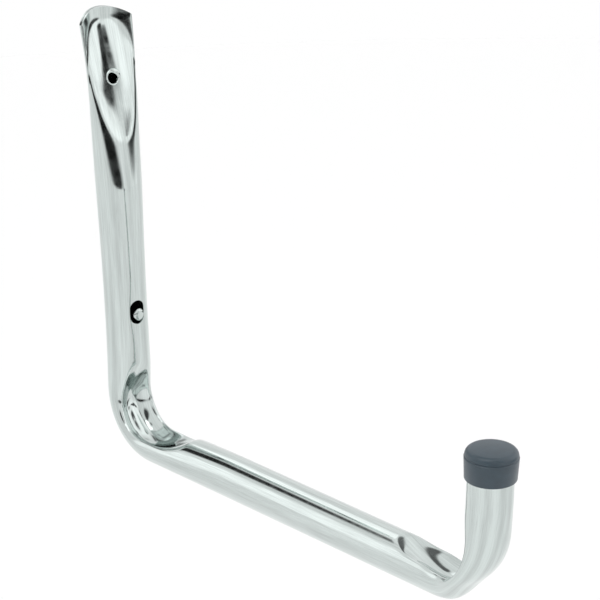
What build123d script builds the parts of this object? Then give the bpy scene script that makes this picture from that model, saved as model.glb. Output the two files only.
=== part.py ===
"""A garage utility hook: one bent steel tube with a dished wall end, and a rubber cap on its tip."""
import os
from dataclasses import dataclass
from math import asin, ceil, cos, degrees, pi, radians, sin, sqrt, tan

from build123d import *

os.makedirs("parts", exist_ok=True)

# The frame: z is up, -y points out from the wall, and x = 0 is the mirror plane. The origin is on the wall,
# midway between the two screw holes. All sizes are in millimetres.

# Tube stock
TUBE_RADIUS = 11.0
WALL = 1.3

# Wall leg, arm and tip, along the centre line
SCREW_SPACING = 122.6
LOWER_SCREW_ABOVE_ARM = 67.7
END_ABOVE_UPPER_SCREW = 29.4
REACH = 283.8  # from the wall leg's centre line to the foot of the tip's
TIP_LEAN = 5.5  # degrees outward
TIP_LENGTH = 69.6  # from the arm's centre line to the tube's cut end

# Screw holes, all along y
SCREW_HOLE_RADIUS = 3.2
ACCESS_HOLE_WIDTH = 8.4
ACCESS_HOLE_HEIGHT = 12.6

# The wall end, pressed into a dish. Levels are measured from the centre line, away from the wall.
END_HALF_WIDTH = 15.7
END_RISE = 5.8  # of the rounded end above its corners
END_SIDE = -3.5
END_CREST = 1.0
END_BOW = 2.0  # 1 gives the rear side an ellipse's curve, and 2 a parabola's
END_FOLD = 0.97  # place of the folds, as a share of the half width
DISH_LENGTH = 86.0
DISH_START_FOLD = 0.35
SIDE_LENGTH = 39.0  # of the stretch where the sides bend back towards the wall
WIDENING_LENGTH = 147.0

# What a press leaves where it flattens the tube
SLIT = 0.3  # gap between the two layers
FOLD_SOFTNESS = 0.12  # rounds the folds, as a share of the dent's depth
NARROWEST_FOLD = 0.3  # at a dent's tips, as a share of the fold at its middle
SHARPEST_FOLD = 0.985
LAYER_SOFTNESS = 0.2  # rounds the place where the two layers meet, as a share of their distance there

# Cap
CAP_CLEARANCE = 0.05
CAP_SKIRT = 10.7  # from the tube's cut end to the cap's foot
CAP_FOOT_RADIUS = 12.3
CAP_SEAM_RADIUS = 12.8
CAP_FOOT_CHAMFER = 0.4
CAP_SEAM = 0.5  # height of the seam above the tube's cut end
SEAM_WIDTH = 0.6
SEAM_DEPTH = 0.3
CAP_DISC_RADIUS = 9.6
DOME_FULLNESS = 0.7  # how far the band between disc and seam bulges
CAP_SHOULDER = 3.4  # height of the disc's edge above the seam
CAP_CROWN = 0.5  # rise of the disc at its middle

# Sampling
SECTION_STEP = 8.0  # most between lofted sections
OVERRUN = 18.0  # of the sections past the tube's cut end
QUARTER_STEPS = 15  # points in each quarter of a section


@dataclass
class Crush:
    """A bend crushed on its inner side: levels at its middle, reaches along the tube before and after it."""

    radius: float  # of the centre line
    turn: float  # in degrees
    half_width: float
    back: float
    side: float
    bow: float
    crest: float
    floor: float
    fold: float
    fold_growth: float  # added to the fold at the end of the dent
    shift: float  # of the widest section, along the tube
    press_reach: tuple
    crest_reach: tuple
    dent_reach: tuple


wall_bend = Crush(
    radius=26.0,
    turn=90.0,
    half_width=12.4,
    back=10.5,
    side=-1.6,
    bow=1.2,
    crest=6.0,
    floor=-4.5,
    fold=0.79,
    fold_growth=0.2,
    shift=8.0,
    press_reach=(62.0, 81.0),
    crest_reach=(34.0, 22.0),
    dent_reach=(35.0, 52.0),
)
tip_bend = Crush(
    radius=35.0,
    turn=90.0 - TIP_LEAN,
    half_width=13.6,
    back=6.0,
    side=-1.2,
    bow=1.35,
    crest=3.0,
    floor=-2.8,
    fold=0.80,
    fold_growth=-0.08,
    shift=-2.0,
    press_reach=(17.0, 45.0),
    crest_reach=(32.0, 34.0),
    dent_reach=(53.0, 40.0),
)

# Levels and lengths that follow from those
CENTRE_Y = -TUBE_RADIUS
UPPER_SCREW_Z = SCREW_SPACING / 2
LOWER_SCREW_Z = -SCREW_SPACING / 2
ARM_Z = LOWER_SCREW_Z - LOWER_SCREW_ABOVE_ARM
END_Z = UPPER_SCREW_Z + END_ABOVE_UPPER_SCREW
TOP_Z = END_Z + END_RISE + WALL
END_FLOOR = 2 * WALL + SLIT - TUBE_RADIUS

tip_cut = tip_bend.radius * tan(radians(tip_bend.turn / 2))
wall_arc = wall_bend.radius * radians(wall_bend.turn)
tip_arc = tip_bend.radius * radians(tip_bend.turn)
leg_end = TOP_Z - ARM_Z - wall_bend.radius
arm_start = leg_end + wall_arc
arm_end = arm_start + REACH - wall_bend.radius - tip_cut
tip_start = arm_end + tip_arc
tube_end = tip_start + TIP_LENGTH - tip_cut


def swell(distance, reach, power=2.0):
    """One at the middle, falling smoothly to nothing at the end of the reach on either side."""
    share = distance / (reach[0] if distance < 0 else reach[1])
    return max(1 - share * share, 0.0) ** power


@dataclass
class Section:
    """Half width and levels of one section, from the centre line towards the inner side of the bends."""

    half_width: float = TUBE_RADIUS
    back: float = TUBE_RADIUS
    side: float = 0.0
    bow: float = 1.0
    crest: float = TUBE_RADIUS
    floor: float = TUBE_RADIUS
    fold: float = NARROWEST_FOLD

    def points(self, inset):
        """Points round the section, or round the hollow inside it where inset is the wall."""
        half_width = self.half_width - inset
        back = self.back - inset
        crest = self.crest - inset
        floor = min(self.floor - inset, self.side + crest)
        fold = min(self.fold * self.half_width + inset / 2, SHARPEST_FOLD * half_width)
        depth = self.side + crest - floor
        level = (1 + sqrt(1 + FOLD_SOFTNESS**2)) / 2
        result = []
        for angle in section_angles():
            x = half_width * sin(angle)
            height = abs(cos(angle))
            outer = self.side - (back + self.side) * height**self.bow
            rise = 1 - (x / fold) ** 2
            dent = depth * (rise + sqrt(rise * rise + FOLD_SOFTNESS**2)) / 2 / level
            inner = self.side + crest * height - dent
            least = (SLIT if inset else 2 * WALL + SLIT) * (1 - (1 - height) ** 3)
            spare = inner - outer - least
            inner = outer + least + (spare + sqrt(spare * spare + (LAYER_SOFTNESS * least) ** 2)) / 2
            result.append((x, inner if abs(angle) <= pi / 2 else outer))
        return result


def section_angles():
    """Angles from the middle of the outer side round to it again."""
    return [pi / 2 * i / QUARTER_STEPS - pi for i in range(4 * QUARTER_STEPS)]


def dish(s):
    """How the wall end's pressing changes the section at s along the tube."""
    below = max(s - (TOP_Z - END_Z), 0.0)
    share = max(1 - below / DISH_LENGTH, 0.0)
    widening = max(1 - below / WIDENING_LENGTH, 0.0) ** 1.5
    side = max(1 - below / SIDE_LENGTH, 0.0) ** 1.5
    return (
        (END_HALF_WIDTH - TUBE_RADIUS) * widening,
        0.0,
        END_SIDE * side,
        (END_BOW - 1) * share**1.5,
        (END_CREST - TUBE_RADIUS) * share,
        (END_FLOOR - TUBE_RADIUS) * share,
        END_FOLD - (END_FOLD - DISH_START_FOLD) * (1 - share) ** 2.2 if share else 0.0,
    )


def crush(bend, s):
    """How a crushed bend changes the section at s along the tube from the bend's middle."""
    press = swell(s - bend.shift, bend.press_reach)
    dent = swell(s, bend.dent_reach, 1.1)
    share = min(abs(s) / bend.dent_reach[0 if s < 0 else 1], 1.0)
    fold = bend.fold + bend.fold_growth * share * (-1 if s < 0 else 1)
    return (
        (bend.half_width - TUBE_RADIUS) * press,
        (bend.back - TUBE_RADIUS) * press,
        bend.side * press,
        (bend.bow - 1) * press,
        (bend.crest - TUBE_RADIUS) * swell(s, bend.crest_reach),
        (bend.floor - TUBE_RADIUS) * dent,
        fold * (NARROWEST_FOLD + (1 - NARROWEST_FOLD) * sqrt(1 - share**7)) if dent else 0.0,
    )


def section_at(s):
    """The section at s along the centre line, from the tube's upper end."""
    changes = [dish(s), crush(wall_bend, s - wall_middle), crush(tip_bend, s - tip_middle)]
    width, back, side, bow, crest, floor, fold = (sum(change) for change in zip(*changes))
    return Section(
        TUBE_RADIUS + width,
        TUBE_RADIUS + back,
        side,
        1 + bow,
        TUBE_RADIUS + crest,
        TUBE_RADIUS + floor,
        min(max(fold, NARROWEST_FOLD), SHARPEST_FOLD),
    )


def plane_at(s):
    """The plane across the tube at s, with its y pointing to the inner side of the bends."""
    if s <= leg_end:
        centre, inward = (CENTRE_Y, TOP_Z - s), (-1.0, 0.0)
    elif s <= arm_start:
        angle = (s - leg_end) / wall_bend.radius
        inward = (-cos(angle), sin(angle))
        centre = (CENTRE_Y - wall_bend.radius * (1 + inward[0]), ARM_Z + wall_bend.radius * (1 - inward[1]))
    elif s <= arm_end:
        centre, inward = (CENTRE_Y - wall_bend.radius - (s - arm_start), ARM_Z), (0.0, 1.0)
    else:
        angle = min((s - arm_end) / tip_bend.radius, radians(tip_bend.turn))
        beyond = max(s - tip_start, 0.0)
        inward = (sin(angle), cos(angle))
        centre = (
            CENTRE_Y - REACH + tip_cut - tip_bend.radius * inward[0] - beyond * inward[1],
            ARM_Z + tip_bend.radius * (1 - inward[1]) + beyond * inward[0],
        )
    return Plane(
        origin=(0, centre[0], centre[1]), x_dir=(1, 0, 0), z_dir=(0, -inward[1], inward[0])
    )


def section_face(s, inset):
    """One section: an inner and an outer curve that meet, upright on the tube's outside, at its widest points.

    Each curve's points have the same parameters on every section, so that a loft keeps its folds in line.
    """
    plane = plane_at(s)
    angles = section_angles()
    spots = [plane.from_local_coords(point) for point in section_at(s).points(inset)]
    right, left = QUARTER_STEPS, 3 * QUARTER_STEPS
    inner = Edge.make_spline(
        spots[right : left + 1],
        tangents=None if inset else [plane.y_dir, -plane.y_dir],
        parameters=angles[right : left + 1],
    )
    outer = Edge.make_spline(
        spots[left:] + spots[: right + 1],
        tangents=None if inset else [-plane.y_dir, plane.y_dir],
        parameters=angles[left:] + [angle + 2 * pi for angle in angles[: right + 1]],
    )
    return Face(Wire([inner, outer]))


def sections(inset):
    """Sections from the tube's upper end to past its tip, evenly spaced along its centre line."""
    length = tube_end + OVERRUN
    steps = ceil(length / SECTION_STEP)
    if steps % 3 == 2:
        steps += 1  # a loft through 3, 6, 9 ... sections comes out wavy
    return [section_face(length * i / steps, inset) for i in range(steps + 1)]


wall_middle = leg_end + wall_arc / 2
tip_middle = arm_end + tip_arc / 2
tip = plane_at(tube_end)

# The tube's hollow
with BuildPart() as hollow:
    loft(sections(WALL))

# The tube
with BuildPart() as hook_tube:
    loft(sections(0.0))
    add(hollow.part, mode=Mode.SUBTRACT)

    # The tip is cut square
    with BuildSketch(tip):
        Circle(2 * TUBE_RADIUS)
    extrude(amount=2 * OVERRUN, mode=Mode.SUBTRACT)

    # The upper end is rounded, seen from the front
    end_radius = (END_HALF_WIDTH**2 + END_RISE**2) / (2 * END_RISE)
    with BuildSketch(Plane.XZ.offset(TUBE_RADIUS)):
        with Locations((0, TOP_Z)):
            Rectangle(3 * END_HALF_WIDTH, 2 * (TOP_Z - END_Z + WALL))
        with Locations((0, END_Z + END_RISE - end_radius)):
            Circle(end_radius, mode=Mode.SUBTRACT)
    extrude(amount=2 * TUBE_RADIUS, both=True, mode=Mode.SUBTRACT)

    # The upper screw goes through both walls, and the lower one through the rear wall
    with Locations(Plane(origin=(0, -2 * TUBE_RADIUS, UPPER_SCREW_Z), z_dir=(0, -1, 0))):
        Hole(SCREW_HOLE_RADIUS, depth=3 * TUBE_RADIUS)
    with Locations(Plane(origin=(0, CENTRE_Y, LOWER_SCREW_Z), z_dir=(0, -1, 0))):
        Hole(SCREW_HOLE_RADIUS, depth=2 * TUBE_RADIUS)

    # A taller hole in the front wall lets the lower screw and its driver in
    with BuildSketch(Plane(origin=(0, CENTRE_Y, LOWER_SCREW_Z), x_dir=(0, 0, 1), z_dir=(0, -1, 0))):
        SlotOverall(ACCESS_HOLE_HEIGHT, ACCESS_HOLE_WIDTH)
    extrude(amount=2 * TUBE_RADIUS, mode=Mode.SUBTRACT)

# The cap is turned about the tip's centre line, with x out from it and y towards the cap's foot
bore_radius = TUBE_RADIUS + CAP_CLEARANCE
dome_radius = CAP_SEAM_RADIUS - SEAM_DEPTH / 2
dome_start = -CAP_SEAM - SEAM_WIDTH / 2
shoulder = -CAP_SEAM - CAP_SHOULDER
crown_radius = (CAP_DISC_RADIUS**2 + CAP_CROWN**2) / (2 * CAP_CROWN)
crown_spread = degrees(asin(CAP_DISC_RADIUS / crown_radius))
with BuildPart() as end_cap:
    with BuildSketch(Plane(origin=tip.origin, x_dir=tip.x_dir, z_dir=tip.y_dir)):
        with BuildLine():
            skirt = Polyline(
                (0, 0),
                (bore_radius, 0),
                (bore_radius, CAP_SKIRT),
                (CAP_FOOT_RADIUS - CAP_FOOT_CHAMFER, CAP_SKIRT),
                (CAP_FOOT_RADIUS, CAP_SKIRT - CAP_FOOT_CHAMFER),
                (CAP_SEAM_RADIUS, SEAM_WIDTH / 2 - CAP_SEAM),
                (CAP_SEAM_RADIUS - SEAM_DEPTH, -CAP_SEAM),
                (dome_radius, dome_start),
            )
            dome = ThreePointArc(
                skirt @ 1,
                (
                    CAP_DISC_RADIUS + (dome_radius - CAP_DISC_RADIUS) * DOME_FULLNESS,
                    dome_start + (shoulder - dome_start) * DOME_FULLNESS,
                ),
                (CAP_DISC_RADIUS, shoulder),
            )
            crown = CenterArc((0, shoulder - CAP_CROWN + crown_radius), crown_radius, -90, crown_spread)
            Line(crown @ 0, skirt @ 0)
        make_face()
    revolve(axis=Axis(tip.origin, tip.z_dir))

for piece, name in ((hook_tube, "hook_tube"), (end_cap, "end_cap")):
    piece.part.label = name
    export_step(piece.part, f"parts/{name}.step")
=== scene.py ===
"""Garage utility hook: a bent zinc-plated tube with crushed bends and a rubber cap on its tip.

The tube and the cap are modelled again over the loaded solids, finer than those. Some shapes differ from the
solids', to follow the photograph: the wall end's dish is 61 mm long and not 86, with softer folds, and the cap's
seam is wider and deeper. The wall bend's rib, the lower hole's dimple and the punch marks are only here.
"""

from dataclasses import dataclass
from math import atan2, cos, pi, radians, sin, sqrt, tan

import bpy
import numpy as np
from bpy.props import FloatProperty, FloatVectorProperty, IntProperty, PointerProperty
from mathutils import Matrix, Vector


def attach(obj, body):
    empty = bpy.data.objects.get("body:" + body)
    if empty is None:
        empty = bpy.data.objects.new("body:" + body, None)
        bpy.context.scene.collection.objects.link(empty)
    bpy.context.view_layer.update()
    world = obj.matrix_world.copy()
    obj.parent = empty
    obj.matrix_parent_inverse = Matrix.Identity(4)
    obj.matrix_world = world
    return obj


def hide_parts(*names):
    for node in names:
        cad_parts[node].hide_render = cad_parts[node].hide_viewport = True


bl_info = {
    "name": "Garage utility hook",
    "version": (1, 0, 0),
    "blender": (4, 5, 0),
    "location": "View3D > Sidebar > Hook",
    "description": "Builds a crushed-tube wall hook with a rubber end cap, and a studio for it",
    "category": "Object",
}

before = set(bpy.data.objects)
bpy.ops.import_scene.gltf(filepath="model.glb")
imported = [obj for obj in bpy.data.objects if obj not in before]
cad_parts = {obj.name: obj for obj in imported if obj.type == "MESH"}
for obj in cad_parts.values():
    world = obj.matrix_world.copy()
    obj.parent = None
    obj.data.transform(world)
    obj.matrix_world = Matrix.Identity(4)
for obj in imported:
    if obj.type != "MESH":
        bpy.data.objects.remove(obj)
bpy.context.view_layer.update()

MM = 0.001
NEAR = 0.01 * MM  # points closer than this count as one place

# The row's frame: z is up, -y points out from the wall, x = 0 is the mirror plane
END_ABOVE_UPPER_SCREW = 29.4 * MM
LOWER_SCREW_ABOVE_ARM = 67.7 * MM
TIP_LEAN = radians(5.5)

# The wall end, pressed into a dish. Levels are measured from the centre line, away from the wall.
END_HALF_WIDTH = 15.7 * MM
END_RISE = 5.8 * MM
END_SIDE = -3.5 * MM
END_CREST = 1.0 * MM
END_BOW = 2.0
END_FOLD = 0.97
DISH_LENGTH = 61.0 * MM
DISH_START_FOLD = 0.3
LEAN_LENGTH = 86.0 * MM  # of the stretch where the crest falls back, longer than the dish in it
SIDE_LENGTH = 39.0 * MM
WIDENING_LENGTH = 147.0 * MM
ROUNDED_STRETCH = 20.0 * MM  # of the tube whose rings are moved to follow the rounded end
ROUNDING_PASSES = 6

# The rib that buckles up in the middle of the crushed wall bend
BUCKLE_RISE = 1.8 * MM
BUCKLE_HALF_WIDTH = 2.6 * MM
BUCKLE_REACH = 14.0 * MM

# The shallow dimple that the punch leaves round the lower hole
DIMPLE_DEPTH = 0.8 * MM
DIMPLE_HALF_WIDTH = 5.5 * MM
DIMPLE_REACH = 11.0 * MM

# The punch marks' uneven shapes
CURL_TOWARDS = radians(50)  # anticlockwise from the right, seen from the front
CURL_THINNING = 0.35
LIP_THINNING = 0.6
LIP_NARROWING = 0.3
LIP_SHORTENING = 0.25

# What a press leaves where it flattens the tube. Softness rounds the folds, as a share of the dent's depth.
SLIT = 0.3 * MM
FOLD_SOFTNESS = 0.12
DISH_SOFTNESS = 0.3
NARROWEST_FOLD = 0.3
SHARPEST_FOLD = 0.985
LAYER_SOFTNESS = 0.2

TUBE_SMOOTH_ANGLE = radians(40)
CAP_SMOOTH_ANGLE = radians(50)
ARM_MIDDLE = -150.0 * MM  # a y that parts the tube's wall end from its tip
CROWN_SHARES = (0.985, 0.96, 0.9, 0.8, 0.65, 0.5, 0.35, 0.2, 0.1)  # of the disc's radius, for the crown's rings

# Sizes of the patterns in the finishes
FLUTE_WIDTH = 3.5 * MM
FLUTE_LENGTH = 120.0 * MM
FLUTE_DEPTH = 0.02 * MM
LINE_WIDTH = 0.5 * MM
LINE_LENGTH = 20.0 * MM
LINE_DEPTH = 0.005 * MM
CLOUD_SIZE = 6.0 * MM
GRAIN_SIZE = 0.4 * MM
GRAIN_DEPTH = 0.03 * MM
BLOOM_SIZE = 4.0 * MM

# The camera at the photograph's angle, and the lamp, both in metres
CAMERA_AZIMUTH = radians(-36.619)
CAMERA_ELEVATION = radians(18.942)
CAMERA_ROLL = radians(-2.387)
CAMERA_TARGET = (0, -134.2 * MM, -76.2 * MM)
CAMERA_DISTANCE = 1.7139
CAMERA_ASIDE = 14.244 * MM
CAMERA_UP = 46.867 * MM
LAMP_PLACE = (-0.5, -0.4, 1.4)
LAMP_AWAY = (-0.5, -0.3, 1.5)
LAMP_SIZE = 1.0
FLOOR_PAINT = 0.8
FLOOR_LIFT = 0.2


@dataclass
class Crush:
    """A bend crushed on its inner side: levels at its middle, reaches along the tube before and after it."""

    radius: float
    turn: float
    half_width: float
    back: float
    side: float
    bow: float
    crest: float
    floor: float
    fold: float
    fold_growth: float
    shift: float
    press_reach: tuple
    crest_reach: tuple
    dent_reach: tuple


wall_bend = Crush(
    radius=26.0 * MM,
    turn=pi / 2,
    half_width=12.4 * MM,
    back=10.5 * MM,
    side=-1.6 * MM,
    bow=1.2,
    crest=6.0 * MM,
    floor=-4.5 * MM,
    fold=0.79,
    fold_growth=0.2,
    shift=8.0 * MM,
    press_reach=(62.0 * MM, 81.0 * MM),
    crest_reach=(34.0 * MM, 22.0 * MM),
    dent_reach=(35.0 * MM, 52.0 * MM),
)
tip_bend = Crush(
    radius=35.0 * MM,
    turn=pi / 2 - TIP_LEAN,
    half_width=13.6 * MM,
    back=6.0 * MM,
    side=-1.2 * MM,
    bow=1.35,
    crest=3.0 * MM,
    floor=-2.8 * MM,
    fold=0.80,
    fold_growth=-0.08,
    shift=-2.0 * MM,
    press_reach=(17.0 * MM, 45.0 * MM),
    crest_reach=(32.0 * MM, 34.0 * MM),
    dent_reach=(53.0 * MM, 40.0 * MM),
)


def length(name, default, text):
    return FloatProperty(name=name, description=text, default=default * MM, unit="LENGTH")


def paint(name, default, text):
    return FloatVectorProperty(
        name=name, description=text, default=linear(default), subtype="COLOR", size=3, min=0.0, max=1.0
    )


def linear(hex_colour):
    """The linear colour of an sRGB hex value."""
    channels = [int(hex_colour[i : i + 2], 16) / 255 for i in (1, 3, 5)]
    return tuple(c / 12.92 if c <= 0.04045 else ((c + 0.055) / 1.055) ** 2.4 for c in channels)


class HookTubeSettings(bpy.types.PropertyGroup):
    """Sizes of the bent tube."""

    radius: length("Tube radius", 11.0, "Outer radius of the tube stock")
    wall: length("Wall", 1.3, "Wall thickness of the tube stock")
    screw_spacing: length("Screw spacing", 122.6, "Between the two screw holes")
    reach: length("Reach", 283.8, "From the wall leg's centre line to the foot of the tip's")
    tip_length: length("Tip length", 69.6, "From the arm's centre line to the tube's cut end")
    screw_hole: length("Screw hole radius", 3.2, "Radius of the holes in the rear wall and the flattened end")
    access_width: length("Access hole width", 8.4, "Width of the lower hole in the front wall")
    access_height: length("Access hole height", 12.6, "Height of the lower hole in the front wall")
    around: IntProperty(name="Points around", description="Points round the tube", default=120, min=24)
    step: length("Step", 1.9, "Between rings of points along the tube")


class EndCapSettings(bpy.types.PropertyGroup):
    """Sizes of the rubber cap."""

    clearance: length("Clearance", 0.05, "Between the tube and the cap's bore")
    skirt: length("Skirt", 10.7, "From the tube's cut end to the cap's foot")
    foot_radius: length("Foot radius", 12.3, "Outer radius at the cap's foot")
    seam_radius: length("Seam radius", 12.8, "Outer radius at the moulding seam")
    foot_chamfer: length("Foot chamfer", 0.4, "Chamfer round the cap's foot")
    seam_height: length("Seam height", 0.5, "The seam's height above the tube's cut end")
    seam_width: length("Seam width", 0.9, "Width of the seam groove")
    seam_depth: length("Seam depth", 0.5, "Depth of the seam groove")
    disc_radius: length("Disc radius", 9.6, "Radius of the flat disc on top")
    shoulder: length("Shoulder", 3.4, "Height of the disc's edge above the seam")
    crown: length("Crown", 0.5, "Rise of the disc at its middle")
    dome_fullness: FloatProperty(name="Dome fullness", description="How far the dome bulges", default=0.7)


class PunchMarkSettings(bpy.types.PropertyGroup):
    """Sizes of what the punch leaves at the screw holes."""

    burr: length("Burr", 0.6, "Radius of the rolled edge round the upper hole")
    lip_width: length("Lip width", 6.0, "Width of the bent-in lip in the lower hole")
    lip_height: length("Lip height", 7.6, "Height of the lip")
    lip_depth: length("Lip depth", 1.0, "How far the lip bulges")
    lip_aside: length("Lip aside", 1.6, "From the hole's middle to the lip's")
    lip_drop: length("Lip drop", 2.1, "From the hole's middle down to the lip's")
    lip_bend: length("Lip bend", 0.6, "How much deeper the lip's free edge lies than its root")
    curl: FloatProperty(name="Curl", description="How much thicker the burr is where it curls over", default=1.5)


class FinishSettings(bpy.types.PropertyGroup):
    """Colours of the finishes."""

    zinc: paint("Zinc", "#c9d1cf", "Bright zinc plating")
    rubber: paint("Rubber", "#2c3e49", "Slate-grey rubber")
    floor: paint("Floor", "#ffffff", "Studio floor")


def tube_settings():
    return bpy.context.scene.hook_tube


def lines():
    """Levels and lengths along the centre line that follow from the tube's sizes."""
    t = tube_settings()
    upper = t.screw_spacing / 2
    arm = -upper - LOWER_SCREW_ABOVE_ARM
    end = upper + END_ABOVE_UPPER_SCREW
    top = end + END_RISE + t.wall
    tip_cut = tip_bend.radius * tan(tip_bend.turn / 2)
    leg_end = top - arm - wall_bend.radius
    arm_start = leg_end + wall_bend.radius * wall_bend.turn
    arm_end = arm_start + t.reach - wall_bend.radius - tip_cut
    tip_start = arm_end + tip_bend.radius * tip_bend.turn
    return {
        "centre": -t.radius,
        "upper": upper,
        "arm": arm,
        "end": end,
        "top": top,
        "tip_cut": tip_cut,
        "leg_end": leg_end,
        "arm_start": arm_start,
        "arm_end": arm_end,
        "tip_start": tip_start,
        "tube_end": tip_start + t.tip_length - tip_cut,
        "end_floor": 2 * t.wall + SLIT - t.radius,
    }


def swell(distance, reach, power=2.0):
    """One at the middle, falling smoothly to nothing at the end of the reach on either side."""
    share = distance / np.where(distance < 0, reach[0], reach[1])
    return np.clip(1 - share * share, 0.0, None) ** power


def dish(s):
    """How the wall end's pressing changes the section at s along the tube."""
    t, line = tube_settings(), lines()
    below = np.clip(s - (line["top"] - line["end"]), 0.0, None)
    share = np.clip(1 - below / DISH_LENGTH, 0.0, None)
    lean = np.clip(1 - below / LEAN_LENGTH, 0.0, None) ** 1.2
    return np.stack(
        [
            (END_HALF_WIDTH - t.radius) * np.clip(1 - below / WIDENING_LENGTH, 0.0, None) ** 1.5,
            0 * s,
            END_SIDE * np.clip(1 - below / SIDE_LENGTH, 0.0, None) ** 1.5,
            (END_BOW - 1) * lean**1.5,
            (END_CREST - t.radius) * lean,
            (END_CREST - t.radius) * lean + (line["end_floor"] - END_CREST) * share,
            np.where(share > 0, END_FOLD - (END_FOLD - DISH_START_FOLD) * (1 - share) ** 4, 0.0),
        ]
    )


def crush(bend, s):
    """How a crushed bend changes the section at s along the tube from the bend's middle."""
    radius = tube_settings().radius
    press = swell(s - bend.shift, bend.press_reach)
    dent = swell(s, bend.dent_reach, 1.1)
    share = np.clip(np.abs(s) / np.where(s < 0, bend.dent_reach[0], bend.dent_reach[1]), 0.0, 1.0)
    fold = bend.fold + bend.fold_growth * share * np.sign(s)
    return np.stack(
        [
            (bend.half_width - radius) * press,
            (bend.back - radius) * press,
            bend.side * press,
            (bend.bow - 1) * press,
            (bend.crest - radius) * swell(s, bend.crest_reach),
            (bend.floor - radius) * dent,
            np.where(dent > 0, fold * (NARROWEST_FOLD + (1 - NARROWEST_FOLD) * np.sqrt(1 - share**7)), 0.0),
        ]
    )


def section(s, angle, inset):
    """Sideways and inward place, from the centre line, of a point at that angle round the pressed section."""
    t, line = tube_settings(), lines()
    wall_middle = (line["leg_end"] + line["arm_start"]) / 2
    tip_middle = (line["arm_end"] + line["tip_start"]) / 2
    changes = dish(s) + crush(wall_bend, s - wall_middle) + crush(tip_bend, s - tip_middle)
    width, back, side, bow, crest, floor, fold = changes
    outer_half = t.radius + width
    half_width = outer_half - inset
    back = t.radius + back - inset
    crest = t.radius + crest - inset
    floor = np.minimum(t.radius + floor - inset, side + crest)
    fold = np.clip(fold, NARROWEST_FOLD, SHARPEST_FOLD) * outer_half + inset / 2
    fold = np.minimum(fold, SHARPEST_FOLD * half_width)
    x = half_width * np.sin(angle)
    height = np.abs(np.cos(angle))
    outer = side - (back + side) * height ** (1 + bow)
    rise = 1 - (x / fold) ** 2
    soft = np.where(s < line["top"] - line["end"] + DISH_LENGTH, DISH_SOFTNESS, FOLD_SOFTNESS)
    level = (1 + np.sqrt(1 + soft**2)) / 2
    dent = (side + crest - floor) * (rise + np.sqrt(rise * rise + soft**2)) / 2 / level
    inner = side + crest * height - dent
    least = (SLIT if inset else 2 * t.wall + SLIT) * (1 - (1 - height) ** 3)
    spare = inner - outer - least
    inner = outer + least + (spare + np.sqrt(spare * spare + (LAYER_SOFTNESS * least) ** 2)) / 2
    return x, np.where(np.cos(angle) >= 0, inner, outer)


def centre_line(s):
    """Place (y, z) of the centre line at s, and the direction there towards the inner side of the bends."""
    line = lines()
    wall = np.clip((s - line["leg_end"]) / wall_bend.radius, 0.0, wall_bend.turn)
    tip = np.clip((s - line["arm_end"]) / tip_bend.radius, 0.0, tip_bend.turn)
    turned = wall + tip
    inward = np.stack([-np.cos(turned), np.sin(turned)], -1)
    leg = np.clip(s, None, line["leg_end"])
    arm = np.clip(s, line["arm_start"], line["arm_end"]) - line["arm_start"]
    beyond = np.clip(s - line["tip_start"], 0.0, None)
    y = line["centre"] - wall_bend.radius * (1 - np.cos(wall)) - arm - tip_bend.radius * np.sin(tip)
    z = line["top"] - leg - wall_bend.radius * np.sin(wall) + tip_bend.radius * (1 - np.cos(tip))
    y = y - beyond * np.cos(tip_bend.turn)
    z = z + beyond * np.sin(tip_bend.turn)
    return np.stack([y, z], -1), inward


def buckle(s, x):
    """How high the crushed inner wall of the wall bend stands up along its middle."""
    line = lines()
    along = (s - (line["leg_end"] + line["arm_start"]) / 2) / BUCKLE_REACH
    return BUCKLE_RISE * np.clip(1 - along**2, 0.0, None) * np.exp(-((x / BUCKLE_HALF_WIDTH) ** 2))


def dimple(s, x):
    """How deep the punch of the lower hole has pushed in the front wall round it."""
    line = lines()
    along = (s - line["top"] - tube_settings().screw_spacing / 2) / DIMPLE_REACH
    return DIMPLE_DEPTH * np.exp(-(along**2) - (x / DIMPLE_HALF_WIDTH) ** 2)


def place_on_tube(s, angle, inset):
    """Points in the row's frame, at s along the tube and that angle round it."""
    x, out = section(s, angle, inset)
    out = out + (buckle(s, x) - dimple(s, x)) * (np.cos(angle) > 0)
    centre, inward = centre_line(s)
    yz = centre + out[:, None] * inward
    return np.column_stack([x, yz])


def rounded_end(s, angle, inset):
    """s moved along the tube's upper stretch, so that its first ring lies on the rounded end."""
    line = lines()
    end_radius = (END_HALF_WIDTH**2 + END_RISE**2) / (2 * END_RISE)
    start = np.full_like(s, line["top"] - line["end"])
    for _ in range(ROUNDING_PASSES):
        x = section(start, angle, inset)[0]
        start = line["top"] - line["end"] - END_RISE + end_radius - np.sqrt(end_radius**2 - x**2)
    return np.where(s < ROUNDED_STRETCH, start + (s / ROUNDED_STRETCH) * (ROUNDED_STRETCH - start), s)


def fresh(name):
    """Names the active object and returns it."""
    bpy.context.object.name = name
    bpy.context.object.data.name = name
    return bpy.context.object


def deselect():
    for other in bpy.context.selected_objects:
        other.select_set(False)


def pick(piece, *others):
    """Selects the piece and the others and nothing else, and makes the piece active."""
    deselect()
    for chosen in (piece, *others):
        chosen.select_set(True)
    bpy.context.view_layer.objects.active = piece


def select_vertices(obj, chosen):
    """Selects the vertices marked in a boolean array, and what they enclose. The object is in edit mode after."""
    bpy.ops.object.mode_set(mode="EDIT")
    bpy.ops.mesh.select_mode(type="VERT")
    bpy.ops.mesh.select_all(action="DESELECT")
    bpy.ops.object.mode_set(mode="OBJECT")
    obj.data.vertices.foreach_set("select", chosen)
    bpy.ops.object.mode_set(mode="EDIT")


def points_of(obj):
    co = np.empty(len(obj.data.vertices) * 3)
    obj.data.vertices.foreach_get("co", co)
    return co.reshape(-1, 3)


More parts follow.
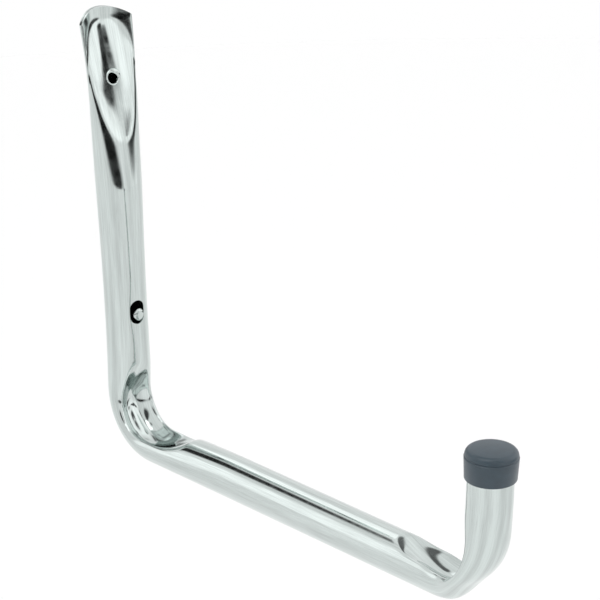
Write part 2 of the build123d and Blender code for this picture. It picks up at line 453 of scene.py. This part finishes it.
def move_points(obj, points):
    obj.data.vertices.foreach_set("co", points.ravel())
    obj.data.update()


def round_tube(name):
    """The tube as it is before pressing: a circle drawn down the leg, round the bends and up the tip."""
    t, line = tube_settings(), lines()
    deselect()
    bpy.ops.mesh.primitive_circle_add(
        vertices=t.around, radius=t.radius, location=(0, line["centre"], line["top"])
    )
    tube = fresh(name)
    bpy.ops.object.transform_apply(location=True)
    bpy.ops.object.mode_set(mode="EDIT")
    bpy.ops.mesh.select_all(action="SELECT")
    bpy.ops.mesh.extrude_region_move(TRANSFORM_OT_translate={"value": (0, 0, -line["leg_end"])})
    bpy.ops.mesh.spin(
        steps=round(wall_bend.radius * wall_bend.turn / t.step),
        angle=wall_bend.turn,
        center=(0, line["centre"] - wall_bend.radius, line["arm"] + wall_bend.radius),
        axis=(1, 0, 0),
    )
    bpy.ops.mesh.extrude_region_move(
        TRANSFORM_OT_translate={"value": (0, line["arm_start"] - line["arm_end"], 0)}
    )
    bpy.ops.mesh.spin(
        steps=round(tip_bend.radius * tip_bend.turn / t.step),
        angle=tip_bend.turn,
        center=(0, line["centre"] - t.reach + line["tip_cut"], line["arm"] + tip_bend.radius),
        axis=(1, 0, 0),
    )
    beyond = line["tube_end"] - line["tip_start"]
    bpy.ops.mesh.extrude_region_move(
        TRANSFORM_OT_translate={"value": (0, -beyond * sin(TIP_LEAN), beyond * cos(TIP_LEAN))}
    )
    for run in (line["leg_end"], line["arm_end"] - line["arm_start"], beyond):
        select_long_edges(tube, run)
        bpy.ops.mesh.subdivide(number_cuts=round(run / t.step) - 1)
    bpy.ops.object.mode_set(mode="OBJECT")
    return tube


def select_long_edges(obj, run):
    """Selects the edges of that length, and leaves the object in edit mode."""
    bpy.ops.mesh.select_mode(type="EDGE")
    bpy.ops.mesh.select_all(action="DESELECT")
    bpy.ops.object.mode_set(mode="OBJECT")
    ends = np.empty(len(obj.data.edges) * 2, int)
    obj.data.edges.foreach_get("vertices", ends)
    a, b = points_of(obj)[ends.reshape(-1, 2).T]
    obj.data.edges.foreach_set("select", np.abs(np.linalg.norm(a - b, axis=1) - run) < NEAR)
    bpy.ops.object.mode_set(mode="EDIT")


def places_along(points):
    """s along the centre line and the angle round it of points on the round tube."""
    line = lines()
    _, y, z = points.T
    wall_y, wall_z = line["centre"] - wall_bend.radius, line["arm"] + wall_bend.radius
    tip_y = line["centre"] - tube_settings().reach + line["tip_cut"]
    tip_z = line["arm"] + tip_bend.radius
    wall = np.arctan2(wall_z - z, y - wall_y)
    tip = np.arctan2(tip_y - y, tip_z - z)
    along_tip = -(y - tip_y) * sin(TIP_LEAN) + (z - tip_z) * cos(TIP_LEAN)
    s = line["arm_start"] + wall_y - y
    s = np.where((y > wall_y) & (wall >= 0), line["leg_end"] + wall_bend.radius * wall, s)
    s = np.where((y > wall_y) & (z >= wall_z), line["top"] - z, s)
    s = np.where(y < tip_y, line["arm_end"] + tip_bend.radius * tip, s)
    s = np.where((y < tip_y) & (along_tip >= 0), line["tip_start"] + along_tip, s)
    centre, inward = centre_line(s)
    return s, np.arctan2(points[:, 0], ((points[:, 1:] - centre) * inward).sum(1))


def press(tube, inset):
    """Presses the round tube into its dish and crushed bends, and returns s and angle of each point."""
    s, angle = places_along(points_of(tube))
    s = rounded_end(s, angle, inset)
    move_points(tube, place_on_tube(s, angle, inset))
    return s, angle


def unroll(tube, s, angle):
    """A UV map with metres round the tube in u and metres along it in v, for the drawn lines in the plating."""
    corners = np.empty(len(tube.data.loops), int)
    tube.data.loops.foreach_get("vertex_index", corners)
    turn = angle[corners].reshape(-1, 4)
    turn = np.where((turn.max(1) - turn.min(1) > pi)[:, None] & (turn < 0), turn + 2 * pi, turn).ravel()
    layer = tube.data.uv_layers.new(name="Along tube")
    layer.data.foreach_set("uv", np.column_stack([turn * tube_settings().radius, s[corners]]).ravel())


def cutter(name, radius, half_height, y_from, y_to, z):
    """A bar along y that cuts a hole: round, or a tall slot where half_height is more than its radius."""
    bpy.ops.mesh.primitive_cylinder_add(
        vertices=96, radius=radius, depth=y_to - y_from, location=(0, (y_from + y_to) / 2, z), rotation=(pi / 2, 0, 0)
    )
    bar = fresh(name)
    bpy.ops.object.transform_apply(location=True, rotation=True)
    points = points_of(bar)
    points[:, 2] += np.sign(np.round(points[:, 2] - z, 7)) * (half_height - radius)
    move_points(bar, points)
    return bar


def cut(piece, bars):
    """Cuts the bars out of the piece."""
    pick(*bars)
    bpy.ops.object.join()
    tool = bpy.context.object
    modifier = piece.modifiers.new("Holes", "BOOLEAN")
    modifier.object = tool
    modifier.operation = "DIFFERENCE"
    modifier.solver = "EXACT"
    pick(piece)
    bpy.ops.object.modifier_apply(modifier=modifier.name)
    bpy.data.objects.remove(tool)
    # The cut leaves slivers of no area along the holes' edges
    bpy.ops.object.mode_set(mode="EDIT")
    bpy.ops.mesh.select_all(action="SELECT")
    bpy.ops.mesh.dissolve_degenerate(threshold=NEAR)
    bpy.ops.object.mode_set(mode="OBJECT")


def bridge_ends(tube, y_side):
    """Joins the outer and inner wall at one open end of the tube."""
    bpy.ops.object.mode_set(mode="EDIT")
    bpy.ops.mesh.select_mode(type="EDGE")
    bpy.ops.mesh.select_all(action="DESELECT")
    bpy.ops.mesh.select_non_manifold(extend=False)
    bpy.ops.object.mode_set(mode="OBJECT")
    edges = np.empty(len(tube.data.edges) * 2, int)
    tube.data.edges.foreach_get("vertices", edges)
    chosen = np.empty(len(tube.data.edges), bool)
    tube.data.edges.foreach_get("select", chosen)
    y = points_of(tube)[edges.reshape(-1, 2)[:, 0], 1]
    tube.data.edges.foreach_set("select", chosen & ((y > ARM_MIDDLE) == y_side))
    bpy.ops.object.mode_set(mode="EDIT")
    bpy.ops.mesh.bridge_edge_loops()
    bpy.ops.object.mode_set(mode="OBJECT")


class HOOK_OT_build_tube(bpy.types.Operator):
    """Model the bent tube with its dished end, crushed bends and screw holes"""

    bl_idname = "hook.build_tube"
    bl_label = "Bent tube"

    def execute(self, context):
        t, line = tube_settings(), lines()
        outside = round_tube("bent_tube")
        unroll(outside, *press(outside, 0.0))
        inside = round_tube("hollow")
        unroll(inside, *press(inside, t.wall))
        for piece in (outside, inside):
            pick(piece)
            bpy.ops.object.mode_set(mode="EDIT")
            bpy.ops.mesh.select_all(action="SELECT")
            bpy.ops.mesh.normals_make_consistent(inside=piece is inside)
            bpy.ops.object.mode_set(mode="OBJECT")
        pick(outside, inside)
        bpy.ops.object.join()
        bridge_ends(outside, True)
        bridge_ends(outside, False)
        bars = [
            cutter("upper_screw", t.screw_hole, t.screw_hole, -3 * t.radius, t.radius, line["upper"]),
            cutter("lower_screw", t.screw_hole, t.screw_hole, -0.6 * t.radius, t.radius, -line["upper"]),
            cutter("access", t.access_width / 2, t.access_height / 2, -3 * t.radius, -t.radius, -line["upper"]),
        ]
        cut(outside, bars)
        bpy.ops.object.shade_smooth_by_angle(angle=TUBE_SMOOTH_ANGLE)
        outside.data.materials.clear()
        outside.data.materials.append(zinc_plate())
        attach(outside, "root")
        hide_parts("hook_tube")
        return {"FINISHED"}


def surface_at(s):
    """The front wall's middle at s along the tube, and its turn about x there, 0 where it stands upright."""
    spots = place_on_tube(np.array([s - MM, s, s + MM]), np.zeros(3), 0.0)
    up = spots[0] - spots[2]
    return spots[1], atan2(up[1], up[2])


def curl_over(burr, ring_radius, curl):
    """Thickens the ring towards its upper right, where the punched edge has curled over, and thins it opposite."""
    points = points_of(burr)
    around = np.arctan2(points[:, 1], points[:, 0])
    ring = ring_radius * np.column_stack([np.cos(around), np.sin(around), 0 * around])
    towards = np.cos(around - CURL_TOWARDS)
    growth = 1 + curl * np.clip(towards, 0, None) ** 2 - CURL_THINNING * np.clip(-towards, 0, None)
    move_points(burr, ring + (points - ring) * growth[:, None])


def bend_in(lip, half_sizes, depth):
    """Thins a flat ball towards its left, narrows its top and foot, and bends that free edge in by that depth."""
    x, y, z = (points_of(lip) / half_sizes).T
    free = np.clip((1 - x) / 2, 0.0, None)
    y = y * (1 - LIP_THINNING * free) + depth / half_sizes[1] * free**1.5
    x, z = x * (1 - LIP_NARROWING * z**2), z * (1 - LIP_SHORTENING * free)
    move_points(lip, np.column_stack([x, y, z]) * half_sizes)


class HOOK_OT_build_punch_marks(bpy.types.Operator):
    """Model what the punch leaves at the screw holes: a rolled burr round the upper, a bent-in lip at the lower"""

    bl_idname = "hook.build_punch_marks"
    bl_label = "Punch marks"

    def execute(self, context):
        t, line, m = tube_settings(), lines(), context.scene.hook_marks
        middle, lean = surface_at(line["top"] - line["upper"])
        deselect()
        bpy.ops.mesh.primitive_torus_add(
            major_radius=t.screw_hole + m.burr / 2,
            minor_radius=m.burr,
            major_segments=72,
            minor_segments=16,
            location=middle,
            rotation=(pi / 2 - lean, 0, 0),
        )
        burr = fresh("punch_marks")
        curl_over(burr, t.screw_hole + m.burr / 2, m.curl)
        half_sizes = (m.lip_width / 2, m.lip_depth, m.lip_height / 2)
        bpy.ops.mesh.primitive_uv_sphere_add(
            segments=48,
            ring_count=24,
            radius=1,
            location=(m.lip_aside, m.lip_depth + DIMPLE_DEPTH - 2 * t.radius, -line["upper"] - m.lip_drop),
            scale=half_sizes,
        )
        lip = fresh("lip")
        bend_in(lip, half_sizes, m.lip_bend)
        pick(burr, lip)
        bpy.ops.object.join()
        bpy.ops.object.transform_apply(location=True, rotation=True, scale=True)
        bpy.ops.object.shade_smooth()
        burr.data.materials.clear()
        burr.data.materials.append(bpy.data.materials["Bright zinc plated steel"])
        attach(burr, "root")
        return {"FINISHED"}


def cap_profile(c):
    """Radius and height of the cap's outside, from its foot to the middle of its top, above the tube's cut end."""
    profile = [
        (c.foot_radius - c.foot_chamfer, -c.skirt),
        (c.foot_radius - 0.3 * c.foot_chamfer, -c.skirt + 0.3 * c.foot_chamfer),
        (c.foot_radius, -c.skirt + c.foot_chamfer),
        (c.seam_radius, c.seam_height - c.seam_width / 2),
        (c.seam_radius - 0.7 * c.seam_depth, c.seam_height - c.seam_width / 4),
        (c.seam_radius - c.seam_depth, c.seam_height),
        (c.seam_radius - 0.85 * c.seam_depth, c.seam_height + c.seam_width / 4),
    ]
    low = np.array([c.seam_radius - c.seam_depth / 2, c.seam_height + c.seam_width / 2])
    high = np.array([c.disc_radius, c.seam_height + c.shoulder])
    full = low + (high - low) * (1 - c.dome_fullness, c.dome_fullness)
    for share in np.linspace(0, 1, 16):
        bend = 2 * share * (1 - share)
        profile.append(tuple((1 - share) ** 2 * low + bend * (2 * full - (low + high) / 2) + share**2 * high))
    ball = (c.disc_radius**2 + c.crown**2) / (2 * c.crown)
    top = c.seam_height + c.shoulder + c.crown
    for share in CROWN_SHARES:
        r = c.disc_radius * share
        profile.append((r, top - ball + sqrt(ball * ball - r * r)))
    return profile


class HOOK_OT_build_cap(bpy.types.Operator):
    """Model the rubber cap on the tube's tip"""

    bl_idname = "hook.build_cap"
    bl_label = "Rubber cap"

    def execute(self, context):
        c, t, line = context.scene.hook_cap, tube_settings(), lines()
        profile = cap_profile(c)
        deselect()
        radius, height = profile[0]
        bpy.ops.mesh.primitive_circle_add(vertices=128, radius=radius, location=(0, 0, height), fill_type="NOTHING")
        cap = fresh("rubber_cap")
        bpy.ops.object.transform_apply(location=True)
        bpy.ops.object.mode_set(mode="EDIT")
        bpy.ops.mesh.select_all(action="SELECT")
        grow_profile(profile)
        bpy.ops.mesh.merge(type="CENTER")
        select_ring(cap, profile[0])
        bore = t.radius + c.clearance
        grow_profile([profile[0], (bore, -c.skirt), (bore, 0.0), (bore * 0.5, 0.0)])
        bpy.ops.mesh.merge(type="CENTER")
        bpy.ops.mesh.select_all(action="SELECT")
        bpy.ops.mesh.normals_make_consistent(inside=False)
        bpy.ops.object.mode_set(mode="OBJECT")
        centre = centre_line(np.array([line["tube_end"]]))[0][0]
        cap.rotation_euler = (TIP_LEAN, 0, 0)
        cap.location = (0, *centre)
        bpy.ops.object.transform_apply(location=True, rotation=True)
        bpy.ops.object.shade_smooth_by_angle(angle=CAP_SMOOTH_ANGLE)
        cap.data.materials.append(satin_rubber())
        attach(cap, "root")
        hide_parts("end_cap")
        return {"FINISHED"}


def grow_profile(profile):
    """Extrudes the selected ring through the profile's radii and heights, about the z axis."""
    for (r0, h0), (r1, h1) in zip(profile, profile[1:]):
        bpy.ops.mesh.extrude_region_move(TRANSFORM_OT_translate={"value": (0, 0, h1 - h0)})
        bpy.ops.transform.resize(value=(r1 / r0, r1 / r0, 1), center_override=(0, 0, h1))


def select_ring(obj, ring):
    """Selects the open ring of points at that radius and height, and leaves the object in edit mode."""
    bpy.ops.object.mode_set(mode="OBJECT")
    points = points_of(obj)
    near = np.abs(np.hypot(points[:, 0], points[:, 1]) - ring[0]) < NEAR
    select_vertices(obj, near & (np.abs(points[:, 2] - ring[1]) < NEAR))


def add_node(tree, kind, settings=(), links=()):
    """Adds a node, sets its properties and sockets, and links its inputs. Settings and links are pairs."""
    node = tree.nodes.new(kind)
    for name, value in settings:
        if isinstance(name, str) and hasattr(node, name) and name not in node.inputs:
            setattr(node, name, value)
        else:
            node.inputs[name].default_value = value
    for name, source in links:
        tree.links.new(source, node.inputs[name])
    return node


def new_material(name):
    material = bpy.data.materials.new(name)
    material.use_nodes = True
    material.node_tree.nodes.clear()
    return material, material.node_tree


def zinc_plate():
    """Bright zinc electroplate on drawn steel tube: a pale, slightly cool mirror with faint drawn lines."""
    material, tree = new_material("Bright zinc plated steel")
    colours = bpy.context.scene.hook_finish
    along = add_node(tree, "ShaderNodeUVMap", [("uv_map", "Along tube")])
    # The drawing die leaves flutes a few millimetres wide that run the length of the tube
    fluted = add_node(
        tree, "ShaderNodeMapping", [("Scale", (1 / FLUTE_WIDTH, 1 / FLUTE_LENGTH, 1))],
        [("Vector", along.outputs["UV"])],
    )
    flutes = add_node(
        tree, "ShaderNodeTexNoise", [("Scale", 1.0), ("Detail", 1.0), ("Roughness", 0.4)],
        [("Vector", fluted.outputs[0])],
    )
    # Fine drawn lines under the plating, drawn half a millimetre apart so that they show, coarser than real ones
    lined = add_node(
        tree, "ShaderNodeMapping", [("Scale", (1 / LINE_WIDTH, 1 / LINE_LENGTH, 1))],
        [("Vector", along.outputs["UV"])],
    )
    drawn = add_node(
        tree, "ShaderNodeTexNoise", [("Scale", 1.0), ("Detail", 3.0), ("Roughness", 0.6)],
        [("Vector", lined.outputs[0])],
    )
    place = add_node(tree, "ShaderNodeTexCoord")
    # Cloudy spots of the plating bath, a few millimetres across, which are duller and not darker
    clouds = add_node(
        tree, "ShaderNodeTexNoise", [("Scale", 1 / CLOUD_SIZE), ("Detail", 4.0), ("Roughness", 0.6)],
        [("Vector", place.outputs["Object"])],
    )
    roughness = add_node(
        tree, "ShaderNodeMapRange", [("From Min", 0.3), ("From Max", 0.75), ("To Min", 0.06), ("To Max", 0.14)],
        [("Value", clouds.outputs[0])],
    )
    swirl = add_node(
        tree, "ShaderNodeBump", [("Strength", 1.0), ("Distance", FLUTE_DEPTH)], [("Height", flutes.outputs[0])]
    )
    fine = add_node(
        tree, "ShaderNodeBump", [("Strength", 0.35), ("Distance", LINE_DEPTH)],
        [("Height", drawn.outputs[0]), ("Normal", swirl.outputs[0])],
    )
    # The plating is a little duller along the flutes and the drawn lines
    both = add_node(tree, "ShaderNodeMath", [("operation", "ADD")], [(0, flutes.outputs[0]), (1, drawn.outputs[0])])
    sheen = add_node(
        tree, "ShaderNodeMapRange", [("From Min", 0.75), ("From Max", 1.25), ("To Min", 0.84), ("To Max", 1.1)],
        [("Value", both.outputs[0])],
    )
    colour = add_node(
        tree, "ShaderNodeMixRGB", [("blend_type", "MULTIPLY"), (0, 1.0), (1, (*colours.zinc, 1))],
        [(2, sheen.outputs[0])],
    )
    shader = add_node(
        tree, "ShaderNodeBsdfPrincipled", [("Metallic", 1.0)],
        [("Base Color", colour.outputs[0]), ("Roughness", roughness.outputs[0]), ("Normal", fine.outputs[0])],
    )
    add_node(tree, "ShaderNodeOutputMaterial", (), [("Surface", shader.outputs[0])])
    return material


def satin_rubber():
    """Moulded slate-grey rubber: satin, with a fine even grain and a trace of bloom."""
    material, tree = new_material("Moulded satin rubber")
    colours = bpy.context.scene.hook_finish
    place = add_node(tree, "ShaderNodeTexCoord")
    grain = add_node(
        tree, "ShaderNodeTexNoise", [("Scale", 1 / GRAIN_SIZE), ("Detail", 3.0), ("Roughness", 0.6)],
        [("Vector", place.outputs["Object"])],
    )
    bloom = add_node(
        tree, "ShaderNodeTexNoise", [("Scale", 1 / BLOOM_SIZE), ("Detail", 3.0), ("Roughness", 0.5)],
        [("Vector", place.outputs["Object"])],
    )
    tone = add_node(
        tree, "ShaderNodeMapRange", [("From Min", 0.35), ("From Max", 0.7), ("To Min", 0.92), ("To Max", 1.1)],
        [("Value", bloom.outputs[0])],
    )
    colour = add_node(
        tree, "ShaderNodeMixRGB", [("blend_type", "MULTIPLY"), (0, 1.0), (1, (*colours.rubber, 1))],
        [(2, tone.outputs[0])],
    )
    bump = add_node(
        tree, "ShaderNodeBump", [("Strength", 0.5), ("Distance", GRAIN_DEPTH)], [("Height", grain.outputs[0])]
    )
    shader = add_node(
        tree, "ShaderNodeBsdfPrincipled", [("Roughness", 0.36), ("Specular IOR Level", 0.65)],
        [("Base Color", colour.outputs[0]), ("Normal", bump.outputs[0])],
    )
    add_node(tree, "ShaderNodeOutputMaterial", (), [("Surface", shader.outputs[0])])
    return material


class StageSettings(bpy.types.PropertyGroup):
    """The studio round the hook."""

    floor_depth: length("Floor depth", 480, "Of the floor below the arm")
    floor_radius: length("Floor radius", 2600, "Of the round white floor")
    lamp_power: FloatProperty(name="Lamp power", description="Power of the overhead lamp", default=3.0, unit="POWER")


def studio_floor():
    """White studio floor: matt, and as bright as the backdrop where no shadow falls."""
    material, tree = new_material("White studio floor")
    matt = add_node(tree, "ShaderNodeBsdfDiffuse", [("Color", (FLOOR_PAINT, FLOOR_PAINT, FLOOR_PAINT, 1))])
    path = add_node(tree, "ShaderNodeLightPath")
    seen = add_node(
        tree, "ShaderNodeMath", [("operation", "MAXIMUM")],
        [(0, path.outputs["Is Camera Ray"]), (1, path.outputs["Is Glossy Ray"])],
    )
    shown = add_node(
        tree, "ShaderNodeMath", [("operation", "MAXIMUM")],
        [(0, seen.outputs[0]), (1, path.outputs["Is Transmission Ray"])],
    )
    lift = add_node(tree, "ShaderNodeMath", [("operation", "MULTIPLY"), (1, FLOOR_LIFT)], [(0, shown.outputs[0])])
    glow = add_node(
        tree, "ShaderNodeEmission", [("Color", (*bpy.context.scene.hook_finish.floor, 1))],
        [("Strength", lift.outputs[0])],
    )
    both = add_node(tree, "ShaderNodeAddShader", (), [(0, matt.outputs[0]), (1, glow.outputs[0])])
    add_node(tree, "ShaderNodeOutputMaterial", (), [("Surface", both.outputs[0])])
    return material


# Bright and dark places of the studio, as soft ovals: azimuth and elevation of the middle, half sizes, and level.
# Azimuth 0 is straight out from the wall and runs to the right, all in degrees. They were placed so that
# the plating mirrors streaks like those in the photograph from the photograph's angle. Other angles weren't fitted.
STUDIO = (
    ((62, 38), (46, 46), 1.4),
    ((12, 8), (16, 8), 1.4),
    ((-145, 15), (14, 13), 1.45),
    ((166, 42), (14, 9), 1.5),
    ((-30, -9), (28, 6), 0.01),
    ((62, -5), (24, 5), 0.05),
    ((41, 9), (7, 2.6), 0.01),
    ((34, 13), (10, 2.2), 0.01),
    ((-55, 30), (10, 18), 0.06),
    ((8, 38), (8, 14), 0.08),
    ((-5, 70), (14, 18), 0.14),
    ((-75, 58), (11, 9), 0.08),
    ((-167, 36), (9, 6.5), 0.02),
    ((166, 10), (8, 14), 0.4),
    ((98, 40), (6, 7), 0.15),
    ((145, 62), (28, 8), 0.15),
)


def studio_world():
    """A white room at level 1 with bright and dark ovals, which the camera itself sees as plain white."""
    world = bpy.data.worlds.new("Studio")
    world.use_nodes = True
    tree = world.node_tree
    tree.nodes.clear()
    place = add_node(tree, "ShaderNodeTexCoord")
    parts = add_node(tree, "ShaderNodeSeparateXYZ", (), [(0, place.outputs["Generated"])])
    ahead = add_node(tree, "ShaderNodeMath", [("operation", "MULTIPLY"), (1, -1.0)], [(0, parts.outputs["Y"])])
    azimuth = add_node(
        tree, "ShaderNodeMath", [("operation", "ARCTAN2")], [(0, parts.outputs["X"]), (1, ahead.outputs[0])]
    )
    elevation = add_node(tree, "ShaderNodeMath", [("operation", "ARCSINE")], [(0, parts.outputs["Z"])])
    way = add_node(
        tree, "ShaderNodeCombineXYZ", (), [("X", azimuth.outputs[0]), ("Y", elevation.outputs[0])]
    )
    level = add_node(tree, "ShaderNodeValue")
    level.outputs[0].default_value = 1.0
    for middle, half, tone in STUDIO:
        away = add_node(
            tree, "ShaderNodeVectorMath",
            [("operation", "SUBTRACT"), (1, (radians(middle[0]), radians(middle[1]), 0))], [(0, way.outputs[0])],
        )
        shares = add_node(
            tree, "ShaderNodeVectorMath",
            [("operation", "DIVIDE"), (1, (radians(half[0]), radians(half[1]), 1))], [(0, away.outputs[0])],
        )
        reach = add_node(tree, "ShaderNodeVectorMath", [("operation", "LENGTH")], [(0, shares.outputs[0])])
        inside = add_node(
            tree, "ShaderNodeMapRange",
            [("interpolation_type", "SMOOTHSTEP"), ("From Min", 1.3), ("From Max", 0.7)],
            [("Value", reach.outputs["Value"])],
        )
        level = add_node(
            tree, "ShaderNodeMix", [("data_type", "FLOAT"), (3, tone)],
            [(0, inside.outputs[0]), (2, level.outputs[0])],
        )
    path = add_node(tree, "ShaderNodeLightPath")
    seen = add_node(
        tree, "ShaderNodeMix", [("data_type", "FLOAT"), (3, 1.0)],
        [(0, path.outputs["Is Camera Ray"]), (2, level.outputs[0])],
    )
    light = add_node(
        tree, "ShaderNodeBackground", [("Color", (1, 1, 1, 1))], [("Strength", seen.outputs[0])]
    )
    add_node(tree, "ShaderNodeOutputWorld", (), [("Surface", light.outputs[0])])
    return world


def photo_camera():
    """The camera at the photograph's angle: turned and raised about the hook, then rolled about its own axis."""
    azimuth, elevation, roll = CAMERA_AZIMUTH, CAMERA_ELEVATION, CAMERA_ROLL
    back = Vector((sin(azimuth) * cos(elevation), -cos(azimuth) * cos(elevation), sin(elevation)))
    right = Vector((0, 0, 1)).cross(back).normalized()
    up = back.cross(right)
    right, up = cos(roll) * right + sin(roll) * up, cos(roll) * up - sin(roll) * right
    target = Vector(CAMERA_TARGET)
    camera = bpy.data.objects.new("camera", bpy.data.cameras.new("camera"))
    camera.data.sensor_width = 36
    camera.data.lens = 210
    camera.data.clip_start = 0.1
    camera.data.clip_end = 50
    turned = Matrix((right, up, back)).transposed().to_4x4()
    turned.translation = target + back * CAMERA_DISTANCE + right * CAMERA_ASIDE + up * CAMERA_UP
    camera.matrix_world = turned
    bpy.context.scene.collection.objects.link(camera)
    return camera


class HOOK_OT_build_stage(bpy.types.Operator):
    """Set up the pale floor, the studio light and the camera"""

    bl_idname = "hook.build_stage"
    bl_label = "Studio"

    def execute(self, context):
        stage, line = context.scene.hook_stage, lines()
        deselect()
        bpy.ops.mesh.primitive_circle_add(
            vertices=96, radius=stage.floor_radius, fill_type="NGON", location=(0, 0, line["arm"] - stage.floor_depth)
        )
        floor = fresh("floor")
        bpy.ops.object.transform_apply(location=True)
        floor.data.materials.append(studio_floor())
        lamp = bpy.data.objects.new("overhead_lamp", bpy.data.lights.new("overhead_lamp", "AREA"))
        lamp.data.shape = "DISK"
        lamp.data.size = LAMP_SIZE
        lamp.data.energy = stage.lamp_power
        lamp.location = LAMP_PLACE
        lamp.rotation_euler = Vector(LAMP_AWAY).to_track_quat("Z", "Y").to_euler()
        context.scene.collection.objects.link(lamp)
        context.scene.world = studio_world()
        context.scene.camera = photo_camera()
        context.scene.view_settings.view_transform = "Standard"
        return {"FINISHED"}


class HOOK_PT_panel(bpy.types.Panel):
    """The hook's sizes, colours and steps"""

    bl_idname = "HOOK_PT_panel"
    bl_label = "Garage utility hook"
    bl_space_type = "VIEW_3D"
    bl_region_type = "UI"
    bl_category = "Hook"

    def draw(self, context):
        for settings, operator in (
            (context.scene.hook_tube, HOOK_OT_build_tube),
            (context.scene.hook_marks, HOOK_OT_build_punch_marks),
            (context.scene.hook_cap, HOOK_OT_build_cap),
            (context.scene.hook_stage, HOOK_OT_build_stage),
            (context.scene.hook_finish, None),
        ):
            box = self.layout.box()
            for name in settings.__annotations__:
                box.prop(settings, name)
            if operator:
                box.operator(operator.bl_idname)


CLASSES = (
    HookTubeSettings,
    EndCapSettings,
    PunchMarkSettings,
    FinishSettings,
    StageSettings,
    HOOK_OT_build_tube,
    HOOK_OT_build_punch_marks,
    HOOK_OT_build_cap,
    HOOK_OT_build_stage,
    HOOK_PT_panel,
)


def register():
    for cls in CLASSES:
        bpy.utils.register_class(cls)
    bpy.types.Scene.hook_tube = PointerProperty(type=HookTubeSettings)
    bpy.types.Scene.hook_cap = PointerProperty(type=EndCapSettings)
    bpy.types.Scene.hook_marks = PointerProperty(type=PunchMarkSettings)
    bpy.types.Scene.hook_finish = PointerProperty(type=FinishSettings)
    bpy.types.Scene.hook_stage = PointerProperty(type=StageSettings)


def unregister():
    for name in ("hook_tube", "hook_marks", "hook_cap", "hook_finish", "hook_stage"):
        delattr(bpy.types.Scene, name)
    for cls in reversed(CLASSES):
        bpy.utils.unregister_class(cls)


def main():
    register()
    bpy.ops.hook.build_tube()
    bpy.ops.hook.build_punch_marks()
    bpy.ops.hook.build_cap()
    bpy.ops.hook.build_stage()


if __name__ == "__main__":
    main()
